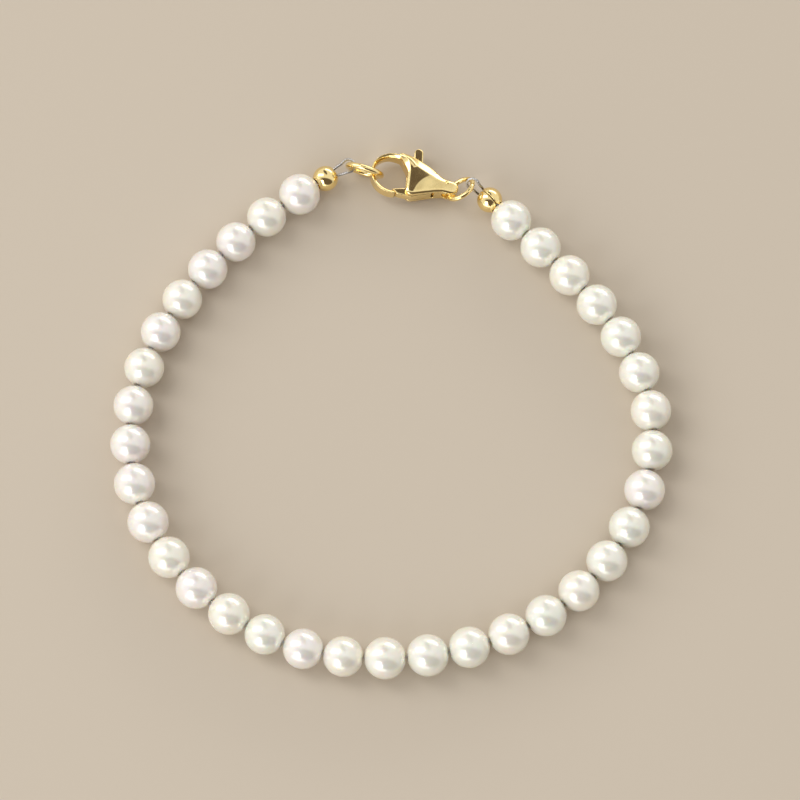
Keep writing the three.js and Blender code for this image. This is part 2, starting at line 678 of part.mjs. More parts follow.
const centres = diameters.map((diameter, index) =>
  route.getPointAt(distances[index] / stringLength).setZ(diameter / 2),
);
const alongString = (index) => {
  const before = centres[Math.max(index - 1, 0)];
  const after = centres[Math.min(index + 1, centres.length - 1)];
  return vector(after.x - before.x, after.y - before.y).normalize();
};
diameters.forEach((diameter, index) => {
  const name = `pearl_${String(index + 1).padStart(2, "0")}`;
  aim(addMesh(bracelet, name, pearl(diameter), pearlLustre), centres[index], alongString(index));
});

// The covers and crimps point from the last pearl to the ring.
const leftOut = leftCover.clone().sub(centres[0]).normalize();
const rightOut = rightCover.clone().sub(centres.at(-1)).normalize();
aim(addMesh(bracelet, "crimp_cover_left", crimpCover(), gold), leftCover, leftOut, LEFT_LOOP.seam);
aim(addMesh(bracelet, "crimp_cover_right", crimpCover(), gold), rightCover, rightOut, RIGHT_LOOP.seam);
aim(addMesh(bracelet, "crimp_tube_left", crimpTube(), gold), leftCover, leftOut);
aim(addMesh(bracelet, "crimp_tube_right", crimpTube(), gold), rightCover, rightOut);

const wirePoints = [
  ...loopPoints(leftCover, leftOut, leftHold, HOOK_RING_WIRE),
  ...centres,
  ...loopPoints(rightCover, rightOut, rightHold, TAIL_RING_WIRE),
];
addMesh(bracelet, "beading_wire", wire(wirePoints), steelWire);

// Puts the origin under the middle of the bracelet's outline.
bracelet.updateMatrixWorld(true);
const outline = new THREE.Box3().setFromObject(bracelet, true);
const centre = outline.getCenter(vector());
bracelet.position.set(-centre.x, -centre.y, 0);

export default bracelet;
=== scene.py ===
import json
import math

import bpy
import numpy as np
from mathutils import Matrix, Vector, noise


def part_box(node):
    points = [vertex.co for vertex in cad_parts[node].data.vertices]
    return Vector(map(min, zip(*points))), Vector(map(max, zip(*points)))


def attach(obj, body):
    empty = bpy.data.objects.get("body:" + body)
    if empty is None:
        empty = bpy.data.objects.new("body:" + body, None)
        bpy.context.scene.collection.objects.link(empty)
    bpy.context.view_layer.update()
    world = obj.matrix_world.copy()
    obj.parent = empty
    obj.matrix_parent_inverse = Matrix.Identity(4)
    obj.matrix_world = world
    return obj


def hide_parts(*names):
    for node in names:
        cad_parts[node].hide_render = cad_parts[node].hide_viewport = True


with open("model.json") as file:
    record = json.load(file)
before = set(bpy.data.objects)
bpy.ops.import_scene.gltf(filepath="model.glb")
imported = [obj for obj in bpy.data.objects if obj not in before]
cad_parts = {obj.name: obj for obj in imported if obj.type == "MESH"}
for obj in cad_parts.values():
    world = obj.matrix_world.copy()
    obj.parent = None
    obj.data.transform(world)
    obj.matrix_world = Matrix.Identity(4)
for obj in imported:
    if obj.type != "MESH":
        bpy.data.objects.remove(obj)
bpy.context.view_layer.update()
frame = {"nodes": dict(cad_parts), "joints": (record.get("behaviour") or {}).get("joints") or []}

# Camera and light.
# The bracelet is seen from the side away from its clasp, 15 degrees off straight down, through a long lens.
# It lies in a pale room with three soft windows, at the left, in front and behind, a white card low in
# front, and two dark stretches of ceiling overhead.
AIM = Vector((0.00098, 0.00096, 0.00225))
CAMERA_DISTANCE = 0.42
CAMERA_ANGLE = math.radians(75)
HALF_VIEW = 0.04495
WINDOW_DISTANCE = 1.2
# Each window's name, way from the bracelet, way of its long side, width, height, brightness and colour.
WINDOWS = (
    ("window_left", (-0.66, 0.33, 0.68), (0.72, -0.07, 0.70), 1.15, 0.42, 2.9, (1.0, 0.99, 0.98)),
    ("window_front", (-0.48, -0.70, 0.53), (1.0, -0.2, 0.6), 0.57, 0.76, 3.3, (0.95, 0.975, 1.0)),
    ("window_back", (0.36, 0.88, 0.28), (0.93, -0.38, 0.0), 1.0, 0.28, 2.8, (1.0, 0.985, 0.96)),
    ("card_front", (-0.42, -0.89, 0.15), (0.89, -0.42, 0), 1.3, 0.28, 1.15, (1.0, 0.98, 0.95)),
)
WALL = (0.87, 0.86, 0.84, 1)
DARK_CEILING = (0.13, 0.105, 0.09, 1)

camera_data = bpy.data.cameras.new("camera")
camera_data.angle = 2 * math.atan(HALF_VIEW / CAMERA_DISTANCE)
camera = bpy.data.objects.new("camera", camera_data)
bpy.context.scene.collection.objects.link(camera)
camera_way = Vector((0, -math.cos(CAMERA_ANGLE), math.sin(CAMERA_ANGLE)))
camera.location = AIM + CAMERA_DISTANCE * camera_way
camera.rotation_euler = (math.pi / 2 - CAMERA_ANGLE, 0, 0)
bpy.context.scene.camera = camera


def soft_window(name, direction, long_way, width, height, brightness, colour):
    lamp = bpy.data.lights.new(name, "AREA")
    lamp.shape = "RECTANGLE"
    lamp.size = width
    lamp.size_y = height
    lamp.energy = brightness * math.pi * width * height
    lamp.color = colour
    holder = bpy.data.objects.new(name, lamp)
    bpy.context.scene.collection.objects.link(holder)
    way = Vector(direction).normalized()
    holder.location = AIM + WINDOW_DISTANCE * way
    along = (Vector(long_way) - way * way.dot(Vector(long_way))).normalized()
    holder.rotation_euler = Matrix((along, way.cross(along), way)).transposed().to_euler()


for window in WINDOWS:
    soft_window(*window)

room = bpy.data.worlds.new("room")
bpy.context.scene.world = room
room.use_nodes = True
room_nodes = room.node_tree.nodes
room_link = room.node_tree.links.new
room_way = room_nodes.new("ShaderNodeTexCoord")


def ceiling_patch(colour_below, towards, long_way, half_long, half_wide, softness):
    # Darkens the room round a direction, in an oval that runs along another one.
    middle = Vector(towards).normalized()
    along = (Vector(long_way) - middle * middle.dot(Vector(long_way))).normalized()
    across = middle.cross(along)
    offsets = room_nodes.new("ShaderNodeCombineXYZ")
    for facing, socket in ((along / half_long, "X"), (across / half_wide, "Y")):
        dot = room_nodes.new("ShaderNodeVectorMath")
        dot.operation = "DOT_PRODUCT"
        dot.inputs[1].default_value = facing
        room_link(room_way.outputs["Generated"], dot.inputs[0])
        room_link(dot.outputs["Value"], offsets.inputs[socket])
    reach = room_nodes.new("ShaderNodeVectorMath")
    reach.operation = "LENGTH"
    room_link(offsets.outputs["Vector"], reach.inputs[0])
    inside = room_nodes.new("ShaderNodeMapRange")
    inside.interpolation_type = "SMOOTHSTEP"
    inside.inputs["From Min"].default_value = 1 + softness
    inside.inputs["From Max"].default_value = 1 - softness
    room_link(reach.outputs["Value"], inside.inputs["Value"])
    front = room_nodes.new("ShaderNodeVectorMath")
    front.operation = "DOT_PRODUCT"
    front.inputs[1].default_value = middle
    room_link(room_way.outputs["Generated"], front.inputs[0])
    ahead = room_nodes.new("ShaderNodeMath")
    ahead.operation = "GREATER_THAN"
    ahead.inputs[1].default_value = 0.0
    room_link(front.outputs["Value"], ahead.inputs[0])
    amount = room_nodes.new("ShaderNodeMath")
    amount.operation = "MULTIPLY"
    room_link(inside.outputs["Result"], amount.inputs[0])
    room_link(ahead.outputs["Value"], amount.inputs[1])
    mixed = room_nodes.new("ShaderNodeMix")
    mixed.data_type = "RGBA"
    mixed.inputs["A"].default_value = WALL
    mixed.inputs["B"].default_value = DARK_CEILING
    room_link(amount.outputs["Value"], mixed.inputs["Factor"])
    if colour_below:
        room_link(colour_below, mixed.inputs["A"])
    return mixed.outputs["Result"]


overhead = ceiling_patch(None, (0.20, -0.70, 0.67), (0.91, -0.40, -0.11), 0.84, 0.50, 0.14)
overhead = ceiling_patch(overhead, (0.0, 0.66, 0.74), (0.26, -0.37, 0.33), 0.45, 0.17, 0.06)
room_link(overhead, room_nodes["Background"].inputs["Color"])
bpy.context.scene.view_settings.view_transform = "Standard"


# Floor.
# A plain pale surface under the bracelet, a little warm and quite matt, as painted board.
FLOOR_HALF = 0.6
FLOOR_PAINT = (0.60, 0.52, 0.42, 1)


def shaped_piece(name, points, faces):
    mesh = bpy.data.meshes.new(name)
    mesh.from_pydata([tuple(point) for point in points], [], [tuple(face) for face in faces])
    mesh.polygons.foreach_set("use_smooth", [True] * len(mesh.polygons))
    mesh.update()
    piece = bpy.data.objects.new(name, mesh)
    bpy.context.scene.collection.objects.link(piece)
    return piece


def new_material(name):
    material = bpy.data.materials.new(name)
    material.use_nodes = True
    return material, material.node_tree, material.node_tree.nodes["Principled BSDF"]


floor_corners = [(FLOOR_HALF * x, FLOOR_HALF * y, 0) for x, y in ((-1, -1), (1, -1), (1, 1), (-1, 1))]
floor = shaped_piece("floor", floor_corners, [(0, 1, 2, 3)])
floor_paint, _, floor_shader = new_material("floor_paint")
floor_shader.inputs["Base Color"].default_value = FLOOR_PAINT
floor_shader.inputs["Roughness"].default_value = 0.65
floor.data.materials.append(floor_paint)


# Pearls.
# Thirty-four near-round cultured pearls, each drilled through its middle for the string. Layers of nacre
# give them a deep soft gloss, a cream body and a faint rose or green overtone that differs from one to the
# next. None is a perfect ball: each is a little out of round, with shallow dents and pinpricks in its skin.
PEARL_BORE = 0.0008
BORE_LIP = 0.00007
PEARL_AROUND = 56
PEARL_ALONG = 34
# The finished pearl's radius as a share of its solid's, and how uneven its skin is.
PEARL_FULLNESS = 1.02
OUT_OF_ROUND = 0.006
HIGHEST_LUMP = 0.004
BROAD_LUMPS = 1.1
FINE_LUMPS = 3.7
FINE_SHARE = 0.25
CREAM = (0.95, 0.905, 0.80, 1)
WHITE = (0.96, 0.945, 0.90, 1)
ROSE = (0.93, 0.86, 0.845, 1)
IVORY = (0.95, 0.90, 0.79, 1)
GREEN = (0.89, 0.90, 0.80, 1)
# The overtone of each pearl along the string: 0 rose, 1 ivory, 2 green.
OVERTONES = "0100101000010120112212122021222122"


def middle_of(node):
    low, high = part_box(node)
    return (low + high) / 2


pearls = sorted(name for name in frame["nodes"] if name.startswith("pearl_"))
pearl_middles = [middle_of(name) for name in pearls]


def string_way(index):
    way = pearl_middles[min(index + 1, len(pearls) - 1)] - pearl_middles[max(index - 1, 0)]
    way.z = 0
    return way.normalized()


def tube_faces(rows, sides, closed=True):
    faces = []
    for row in range(rows if closed else rows - 1):
        ahead = (row + 1) % rows
        for side in range(sides):
            beside = (side + 1) % sides
            corners = ((row, side), (row, beside), (ahead, beside), (ahead, side))
            faces.append(tuple(line * sides + place for line, place in corners))
    return faces


def spun(profile, sides):
    # A closed profile of (distance from the axis, place along it) turned about the axis.
    points = []
    for distance, along in profile:
        for side in range(sides):
            turn = 2 * math.pi * side / sides
            points.append(Vector((distance * math.cos(turn), distance * math.sin(turn), along)))
    return points, tube_faces(len(profile), sides)


def pearl_profile(radius):
    bore = PEARL_BORE / 2
    mouth = math.asin((bore + BORE_LIP) / radius)
    lip = radius * math.cos(mouth) - BORE_LIP
    profile = [(bore, 0.5 * lip), (bore, 0), (bore, -0.5 * lip), (bore, -lip)]
    for step in range(PEARL_ALONG + 1):
        angle = mouth + (math.pi - 2 * mouth) * step / PEARL_ALONG
        profile.append((radius * math.sin(angle), -radius * math.cos(angle)))
    return profile + [(bore, lip)]


def surface_group(name, colours, amounts):
    # An empty node group that is given colours and amounts, and puts out a surface's colour, roughness
    # and height.
    group = bpy.data.node_groups.new(name, "ShaderNodeTree")
    for kind, given in (("NodeSocketColor", colours), ("NodeSocketFloat", amounts)):
        for label, value in given.items():
            socket = group.interface.new_socket(label, in_out="INPUT", socket_type=kind)
            socket.default_value = value
    group.interface.new_socket("Colour", in_out="OUTPUT", socket_type="NodeSocketColor")
    group.interface.new_socket("Roughness", in_out="OUTPUT", socket_type="NodeSocketFloat")
    group.interface.new_socket("Height", in_out="OUTPUT", socket_type="NodeSocketFloat")
    return group, group.nodes.new("NodeGroupInput"), group.nodes.new("NodeGroupOutput")


def grouped_material(name, group, relief_strength, relief_depth):
    # A material whose colour, roughness and relief come from a node group.
    material, tree, shader = new_material(name)
    finish = tree.nodes.new("ShaderNodeGroup")
    finish.node_tree = group
    relief = tree.nodes.new("ShaderNodeBump")
    relief.inputs["Strength"].default_value = relief_strength
    relief.inputs["Distance"].default_value = relief_depth
    tree.links.new(finish.outputs["Colour"], shader.inputs["Base Color"])
    tree.links.new(finish.outputs["Roughness"], shader.inputs["Roughness"])
    tree.links.new(finish.outputs["Height"], relief.inputs["Height"])
    tree.links.new(relief.outputs["Normal"], shader.inputs["Normal"])
    return material, finish, shader


def nacre_group():
    colours = {"Cream": CREAM, "White": WHITE, "Overtone": ROSE}
    group, given, result = surface_group("nacre", colours, {"Patch Size": 260.0})
    link = group.links.new
    place = group.nodes.new("ShaderNodeTexCoord")
    patches = group.nodes.new("ShaderNodeTexNoise")
    patches.inputs["Detail"].default_value = 3.0
    link(place.outputs["Object"], patches.inputs["Vector"])
    link(given.outputs["Patch Size"], patches.inputs["Scale"])
    body = group.nodes.new("ShaderNodeMix")
    body.data_type = "RGBA"
    link(patches.outputs["Fac"], body.inputs["Factor"])
    link(given.outputs["Cream"], body.inputs["A"])
    link(given.outputs["White"], body.inputs["B"])
    clouds = group.nodes.new("ShaderNodeTexNoise")
    clouds.inputs["Scale"].default_value = 420.0
    clouds.inputs["Detail"].default_value = 2.0
    clouds.inputs["Distortion"].default_value = 0.8
    link(place.outputs["Object"], clouds.inputs["Vector"])
    amount = group.nodes.new("ShaderNodeMapRange")
    amount.inputs["From Min"].default_value = 0.35
    amount.inputs["From Max"].default_value = 0.65
    amount.inputs["To Min"].default_value = 0.15
    amount.inputs["To Max"].default_value = 0.85
    link(clouds.outputs["Fac"], amount.inputs["Value"])
    tint = group.nodes.new("ShaderNodeMix")
    tint.data_type = "RGBA"
    link(amount.outputs["Result"], tint.inputs["Factor"])
    link(body.outputs["Result"], tint.inputs["A"])
    link(given.outputs["Overtone"], tint.inputs["B"])
    link(tint.outputs["Result"], result.inputs["Colour"])
    gloss = group.nodes.new("ShaderNodeMapRange")
    gloss.inputs["To Min"].default_value = 0.20
    gloss.inputs["To Max"].default_value = 0.30
    link(patches.outputs["Fac"], gloss.inputs["Value"])
    link(gloss.outputs["Result"], result.inputs["Roughness"])
    skin = group.nodes.new("ShaderNodeTexNoise")
    skin.inputs["Scale"].default_value = 1500.0
    skin.inputs["Detail"].default_value = 3.0
    link(place.outputs["Object"], skin.inputs["Vector"])
    cells = group.nodes.new("ShaderNodeTexVoronoi")
    cells.inputs["Scale"].default_value = 420.0
    link(place.outputs["Object"], cells.inputs["Vector"])
    prick = group.nodes.new("ShaderNodeMapRange")
    prick.inputs["From Max"].default_value = 0.035
    link(cells.outputs["Distance"], prick.inputs["Value"])
    height = group.nodes.new("ShaderNodeMath")
    height.operation = "MULTIPLY_ADD"
    height.inputs[1].default_value = 0.35
    link(skin.outputs["Fac"], height.inputs[0])
    link(prick.outputs["Result"], height.inputs[2])
    link(height.outputs["Value"], result.inputs["Height"])
    return group


nacre = nacre_group()


def nacre_material(name, overtone, patch_size):
    material, layers, shader = grouped_material(name, nacre, 0.25, 0.00003)
    layers.inputs["Overtone"].default_value = overtone
    layers.inputs["Patch Size"].default_value = patch_size
    shader.inputs["IOR"].default_value = 1.56
    shader.inputs["Metallic"].default_value = 0.30
    shader.inputs["Sheen Weight"].default_value = 0.22
    shader.inputs["Sheen Roughness"].default_value = 0.45
    shader.inputs["Sheen Tint"].default_value = (1.0, 0.86, 0.62, 1)
    shader.inputs["Subsurface Weight"].default_value = 0.6
    shader.inputs["Subsurface Radius"].default_value = (1.0, 0.75, 0.5)
    shader.inputs["Subsurface Scale"].default_value = 0.0012
    shader.inputs["Coat Weight"].default_value = 0.5
    shader.inputs["Coat Roughness"].default_value = 0.08
    shader.inputs["Coat IOR"].default_value = 1.5
    return material


pearl_finishes = (
    nacre_material("rose_nacre", ROSE, 240.0),
    nacre_material("ivory_nacre", IVORY, 280.0),
    nacre_material("green_nacre", GREEN, 260.0),
)

for index, name in enumerate(pearls):
    low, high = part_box(name)
    points, faces = spun(pearl_profile(PEARL_FULLNESS * (high.z - low.z) / 2), PEARL_AROUND)
    lay = string_way(index).to_track_quat("Z", "Y").to_matrix()
    seed = Vector((index * 7.3, index * 3.1, 1.7))
    shaped = []
    for point in points:
        way = point.normalized()
        fine = noise.noise(way * FINE_LUMPS + seed)
        lump = noise.noise(way * BROAD_LUMPS + seed) + FINE_SHARE * fine
        swell = 1 + min(OUT_OF_ROUND * lump, HIGHEST_LUMP)
        shaped.append(pearl_middles[index] + lay @ (point * swell))
    pearl = shaped_piece(name + "_nacre", shaped, faces)
    pearl.data.materials.append(pearl_finishes[int(OVERTONES[index])])
    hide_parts(name)
    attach(pearl, "bracelet")


# Lobster clasp.
# One polished gold casting, tumbled until its edges are soft: a hook whose wire thins to its tip, a broad
# bevelled shoulder, two cheeks with a channel between them, and a tail with a hole across it. Its own frame,
# in millimetres, runs from the hook to the tail, up to the thumb tab, and through its thickness.
MM = 0.001
CLASP_HEADING = math.radians(-12)
PIVOT = np.array((3.12, 0.2, 0.0))
THICKNESS = 2.6
OPENING_LONG = 3.5
OPENING_HIGH = 3.1
TIP_DROP = 0.3
HOOK_WIRE = 0.95
BODY_TOP = 2.5
BODY_FRONT = OPENING_LONG / 2
BODY_BOTTOM = -2.325
BODY_HEEL = 1.5 * BODY_FRONT
TAIL_END = 7.8
TAIL_MIDDLE = -0.325
TAIL_WIDTH = 1.55
TAIL_HOLE = 1.6
HOLE_AT = 6.82
CHANNEL_END = 5.148
CHEEK = 0.6
EDGE_BEVEL = 0.28
SHOULDER_BEVEL = 0.95
BEVEL_DEPTH = 0.45
BEVEL_BLEND = 0.05
BEVEL_LIFT = 0.01
# Round the opening, from the tail's side up to the hook's root, the bevel grows by this share.
ROOT_TURN = 48
ROOT_BEVEL_GROWTH = 1.1
GATE_INSIDE = -1.85
GATE_OUTSIDE = -2.35
GATE_HEIGHT = 0.5
TIP_LEFT = 0.28
TIP_SLOPE = 1.3
EDGE_SOFTNESS = 0.16
CHEEK_DOME = 0.010
DOME_AT = (3.0, -0.1)
DOME_LIMIT = 0.3
FACET_AT = (5.9, -2.2)
FACET_RADIUS = 3.15
DIMPLE_AT = (6.3, 0.2)
DIMPLE_SINK = 0.17
DIMPLE_RADIUS = 0.15
CASTING_CELL = 0.06
# The hook's wire from its root to its tip: turn round the opening, width and depth as shares.
HOOK_SECTIONS = np.array((
    (30, 1.5, 0.9),
    (52, 1.46, 0.97),
    (70, 1.16, 0.92),
    (92, 1.08, 0.86),
    (130, 1.08, 0.78),
    (180, 1.08, 0.72),
    (225, 1.08, 0.68),
    (262, 0.95, 0.65),
    (312, 0.72, 0.54),
))
# The wire's section: its crest stands near the outside, with a long slope down to the opening.
HOOK_CREST = 0.42
OUTER_SLOPE = math.radians(44)
INNER_SLOPE = math.radians(30)
CREST_INNER_SLOPE = math.radians(54)
TIP_INNER_SLOPE = math.radians(24)
HOOK_SWELL = 0.06
HOOK_SOFTNESS = 0.2
SIDE_SOFTNESS = 0.22
# Where the inner slope turns into the crest's, going left, and into the tip's, going down.
CREST_FROM_X = 1.6
CREST_OVER = 2.4
TIP_FROM_SHARE = 0.5
TIP_OVER = 1.6
# The shoulder from the hook's root to the tail: shares of the tail's end, the body's top and the bevel.
SHOULDER = (
    (0.15, 1.0, 0.5),
    (0.28, 0.93, 0.8),
    (0.42, 0.81, 1.0),
    (0.5, 0.71, 1.0),
    (0.58, 0.585, 0.95),
    (0.675, 0.38, 0.75),
    (0.75, 0.235, 0.5),
    (0.85, 0.185, 0.35),
)

lever_joint = frame["joints"][0]
clasp_through = Vector(lever_joint["axis"]).normalized()
clasp_along = Vector((math.cos(CLASP_HEADING), math.sin(CLASP_HEADING), 0))
clasp_along.z = -clasp_along.dot(clasp_through) / clasp_through.z
clasp_along.normalize()
clasp_up = clasp_through.cross(clasp_along)
clasp_ways = np.array((clasp_along, clasp_up, clasp_through))
clasp_origin = np.array(lever_joint["pos_m"]) - MM * PIVOT @ clasp_ways


def in_room(points):
    # Points of the clasp's own frame, placed in the bracelet's frame in metres.
    return clasp_origin + MM * np.asarray(points) @ clasp_ways


def soft_max(first, second, softness):
    # Where both shapes are, with the edge between them rounded off.
    ease = np.maximum(softness - np.abs(first - second), 0)
    return np.maximum(first, second) + ease**2 / (4 * softness)


def soft_min(first, second, softness):
    # Where either shape is, with a fillet between them.
    return -soft_max(-first, -second, softness)


def softened(outline, spacing, passes):
    # A closed outline with even spacing and its corners eased. The third column rides along.
    rows = np.array(outline + [outline[0]], float)
    lengths = np.hypot(*np.diff(rows[:, :2], axis=0).T)
    travelled = np.concatenate(((0,), np.cumsum(lengths)))
    count = int(travelled[-1] / spacing)
    stations = np.arange(count) * travelled[-1] / count
    rows = np.stack([np.interp(stations, travelled, column) for column in rows.T], 1)
    for _ in range(passes):
        rows = (np.roll(rows, 1, 0) + 2 * rows + np.roll(rows, -1, 0)) / 4
    return rows


def from_outline(x, y, rows):
    # Distance from a closed outline, negative inside it, and its third column at the nearest point.
    x, y = np.broadcast_arrays(x, y)
    nearest = np.full(x.shape, np.inf)
    carried = np.zeros(x.shape)
    inside = np.zeros(x.shape, bool)
    for (ax, ay, aw), (bx, by, bw) in zip(rows, np.roll(rows, -1, 0)):
        ex, ey = bx - ax, by - ay
        share = np.clip(((x - ax) * ex + (y - ay) * ey) / (ex * ex + ey * ey), 0, 1)
        away = (x - ax - share * ex) ** 2 + (y - ay - share * ey) ** 2
        nearer = away < nearest
        nearest = np.where(nearer, away, nearest)
        carried = np.where(nearer, aw + share * (bw - aw), carried)
        if ay != by:
            inside ^= ((ay > y) != (by > y)) & (x < ax + ex * (y - ay) / ey)
    return np.where(inside, -1, 1) * np.sqrt(nearest), carried


def opening_point(turn):
    # The edge of the hook's opening at a turn, and the way out of the opening there.
    angle = math.radians(turn)
    x = OPENING_LONG / 2 * math.cos(angle)
    y = OPENING_HIGH / 2 * math.sin(angle)
    if y < 0:
        y -= TIP_DROP * (1 + math.cos(angle))
    out = np.array((OPENING_HIGH * math.cos(angle), OPENING_LONG * math.sin(angle)))
    return np.array((x, y)), out / np.linalg.norm(out)


def smooth_run(rows, steps):
    # A smooth curve through rows of numbers.
    rows = np.array(rows, float)
    padded = np.concatenate((2 * rows[:1] - rows[1:2], rows, 2 * rows[-1:] - rows[-2:-1]))
    result = []
    for index in range(len(rows) - 1):
        a, b, c, d = padded[index : index + 4]
        for step in range(steps):
            t = step / steps
            curl = 2 * a - 5 * b + 4 * c - d + t * (3 * (b - c) + d - a)
            result.append(b + 0.5 * t * (c - a + t * curl))
    return result + [rows[-1]]


def bent(start, bend, end, steps):
    # A bend from a start to an end, drawn towards a corner.
    return [
        tuple((1 - s) ** 2 * a + 2 * s * (1 - s) * b + s * s * c for a, b, c in zip(start, bend, end))
        for s in np.linspace(0, 1, steps)
    ]


def block_outline():
    tail_bottom = TAIL_MIDDLE - TAIL_WIDTH / 2
    outline = []
    for turn in range(ROOT_TURN, -1, -4):
        point, _ = opening_point(turn)
        bevel = EDGE_BEVEL * (1 + ROOT_BEVEL_GROWTH * (turn / ROOT_TURN) ** 2)
        outline.append((point[0], point[1], bevel))
    outline.append((1.04 * BODY_FRONT, -0.25 * OPENING_HIGH, EDGE_BEVEL))
    outline += bent(
        (1.08 * BODY_FRONT, 0.8 * BODY_BOTTOM, EDGE_BEVEL),
        (1.12 * BODY_FRONT, BODY_BOTTOM, EDGE_BEVEL),
        (BODY_HEEL, BODY_BOTTOM, EDGE_BEVEL),
        9,
    )
    outline.append((CHANNEL_END, 0.8 * tail_bottom + 0.2 * BODY_BOTTOM, EDGE_BEVEL))
    outline.append((HOLE_AT - TAIL_HOLE / 2, tail_bottom, EDGE_BEVEL))
    radius = TAIL_WIDTH / 2
    for angle in np.radians(np.arange(-90, 91, 10)):
        x = TAIL_END - radius + radius * math.cos(angle)
        outline.append((x, TAIL_MIDDLE + radius * math.sin(angle), EDGE_BEVEL))
    sizes = (TAIL_END, BODY_TOP, SHOULDER_BEVEL)
    shoulder = [tuple(share * size for share, size in zip(row, sizes)) for row in SHOULDER]
    outline += [tuple(row) for row in smooth_run(shoulder, 5)[::-1]]
    outline.append((0.3 * BODY_FRONT, BODY_TOP, 0.45 * SHOULDER_BEVEL))
    return softened(outline, 0.12, 3)


BLOCK = block_outline()


def block_shape(x, y, z):
    edge, bevel = from_outline(x, y, BLOCK)
    slope = bevel + edge
    slope = 0.5 * (slope + np.sqrt(slope**2 + BEVEL_BLEND**2)) - BEVEL_LIFT
    dome = CHEEK_DOME * ((x - DOME_AT[0]) ** 2 + (y - DOME_AT[1]) ** 2)
    # Where the flat facet lies below the dome, their edge is a round arc.
    facet = CHEEK_DOME * (FACET_RADIUS**2 - (x - FACET_AT[0]) ** 2 - (y - FACET_AT[1]) ** 2)
    dome = np.minimum(dome + np.maximum(facet, 0), DOME_LIMIT)
    crown = THICKNESS / 2 - BEVEL_DEPTH * slope - dome
    return soft_max(np.abs(z) - crown, edge, EDGE_SOFTNESS)


def hook_rows():
    # Along the hook's wire: its middle, the way out of the opening, and half its width and depth.
    rows = []
    for turn in range(30, 313, 3):
        width, depth = (np.interp(turn, HOOK_SECTIONS[:, 0], sizes) for sizes in HOOK_SECTIONS.T[1:])
        point, out = opening_point(turn)
        half_width = width * HOOK_WIRE / 2
        rows.append((*(point + out * half_width), *out, half_width, depth * THICKNESS / 2))
    rows = np.array(rows)
    for _ in range(6):
        rows[1:-1] = (rows[:-2] + 2 * rows[1:-1] + rows[2:]) / 4
    return rows


HOOK = hook_rows()


def hook_shape(x, y, z):
    x, y = np.broadcast_arrays(x, y)
    nearest = np.full(x.shape, np.inf)
    across = np.zeros(x.shape)
    half_width = np.ones(x.shape)
    half_depth = np.ones(x.shape)
    for row, following in zip(HOOK, HOOK[1:]):
        step = following - row
        share = (x - row[0]) * step[0] + (y - row[1]) * step[1]
        share = np.clip(share / (step[0] ** 2 + step[1] ** 2), 0, 1)
        off_x = x - row[0] - share * step[0]
        off_y = y - row[1] - share * step[1]
        away = off_x**2 + off_y**2
        nearer = away < nearest
        nearest = np.where(nearer, away, nearest)
        out = off_x * (row[2] + share * step[2]) + off_y * (row[3] + share * step[3])
        across = np.where(nearer, out, across)
        half_width = np.where(nearer, row[4] + share * step[4], half_width)
        half_depth = np.where(nearer, row[5] + share * step[5], half_depth)
    beyond = np.sqrt(np.maximum(nearest - across**2, 0))
    deep = np.abs(z) - half_depth - HOOK_SWELL
    crest = across - HOOK_CREST * half_width
    leftwards = np.clip((CREST_FROM_X - x) / CREST_OVER, 0, 1)
    lean = INNER_SLOPE + (CREST_INNER_SLOPE - INNER_SLOPE) * leftwards
    lean = lean + (TIP_INNER_SLOPE - lean) * np.clip(TIP_FROM_SHARE - y / TIP_OVER, 0, 1)
    inner = deep * np.cos(lean) - crest * np.sin(lean)
    outer = deep * math.cos(OUTER_SLOPE) + crest * math.sin(OUTER_SLOPE)
    sides = np.abs(across) - half_width
    wire = soft_max(soft_max(inner, outer, HOOK_SOFTNESS), sides, SIDE_SOFTNESS)
    return soft_max(wire, beyond - 0.02, 0.06)


CHANNEL = softened(
    [
        (0.9 * BODY_FRONT, -6, 0),
        (CHANNEL_END, -6, 0),
        (CHANNEL_END, 0, 0),
        (0.6 * TAIL_END, 0.4 * BODY_TOP, 0),
        (0.6 * TAIL_END, 6, 0),
        (1.04 * BODY_FRONT, 6, 0),
        (1.04 * BODY_FRONT, 0.3 * BODY_TOP, 0),
        (0.9 * BODY_FRONT, -0.2 * BODY_TOP, 0),
    ],
    0.2,
    1,
)


def tip_line(y):
    # Where the gate meets the hook's tip.
    return TIP_LEFT + TIP_SLOPE * (GATE_INSIDE - y)


def clasp_shape(x, y, z):
    slant = (x - tip_line(y)) / math.hypot(1, TIP_SLOPE)
    gate_space = np.maximum(-slant, y - GATE_INSIDE - GATE_HEIGHT)
    hook = soft_max(hook_shape(x, y, z), -gate_space, 0.08)
    shape = soft_min(block_shape(x, y, z), hook, 0.3)
    channel, _ = from_outline(x, y, CHANNEL)
    channel = soft_max(channel, np.abs(z) - (THICKNESS / 2 - CHEEK), 0.08)
    shape = soft_max(shape, -channel, 0.1)
    hole = np.hypot(x - HOLE_AT, z) - TAIL_HOLE / 2
    shape = soft_max(shape, -hole, 0.14)
    dimple = (x - DIMPLE_AT[0]) ** 2 + (y - DIMPLE_AT[1]) ** 2 + (z - THICKNESS / 2 + DIMPLE_SINK) ** 2
    return soft_max(shape, DIMPLE_RADIUS - np.sqrt(dimple), 0.08)


